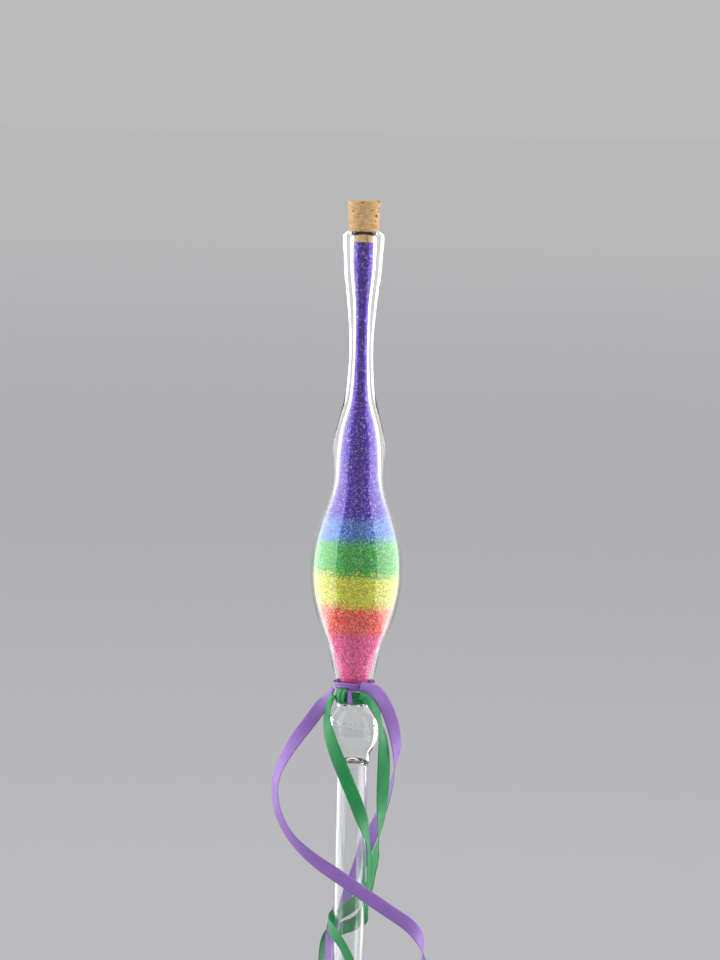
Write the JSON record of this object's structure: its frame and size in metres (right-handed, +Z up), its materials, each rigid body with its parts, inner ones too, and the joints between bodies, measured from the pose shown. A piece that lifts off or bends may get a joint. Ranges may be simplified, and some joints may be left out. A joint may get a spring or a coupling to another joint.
{
  "type": "glass ribbon wand",
  "caption": "Slim hand-blown glass wand: corked vial filled with layered rainbow glitter, a knob, a tube handle and satin ribbon tails tied at the waist.",
  "frame": {"origin": "on the wand's axis, in the middle of the bare grip length at the bottom of the handle", "axes": "+Z up along the wand towards the cork, -Y the front where the knots are, +X to the right seen from the front"},
  "size_m": [0.069, 0.04, 0.4335],
  "materials": {
    "glass": "clear, flame polished",
    "cork": "raw agglomerate-free natural cork, matte with open pores",
    "purple_satin": "single-face satin",
    "green_satin": "single-face satin",
    "glitter_purple": "fine metallised polyester glitter",
    "glitter_blue": "fine metallised polyester glitter",
    "glitter_green": "fine metallised polyester glitter",
    "glitter_yellow": "fine metallised polyester glitter",
    "glitter_orange": "fine metallised polyester glitter",
    "glitter_pink": "fine metallised polyester glitter"
  },
  "bodies": {
    "wand": {"vial": "glass", "handle": "glass", "glitter_purple": "glitter_purple", "glitter_blue": "glitter_blue", "glitter_green": "glitter_green", "glitter_yellow": "glitter_yellow", "glitter_orange": "glitter_orange", "glitter_pink": "glitter_pink"},
    "stopper": {"cork": "cork"},
    "ribbons": {"purple_wrap": "purple_satin", "green_wrap": "green_satin", "purple_knot": "purple_satin", "green_knot": "green_satin", "purple_tail_left": "purple_satin", "purple_tail_right": "purple_satin", "green_tail_left": "green_satin", "green_tail_right": "green_satin"}
  },
  "joints": [
    {"name": "cork_pull", "type": "slide", "parent": "wand", "child": "stopper", "axis": [0, 0, 1], "range_m": [0, 0.025]},
    {"name": "ribbon_swivel", "type": "hinge", "parent": "wand", "child": "ribbons", "pos_m": [0, 0, 0.182], "axis": [0, 0, 1], "continuous": true}
  ]
}
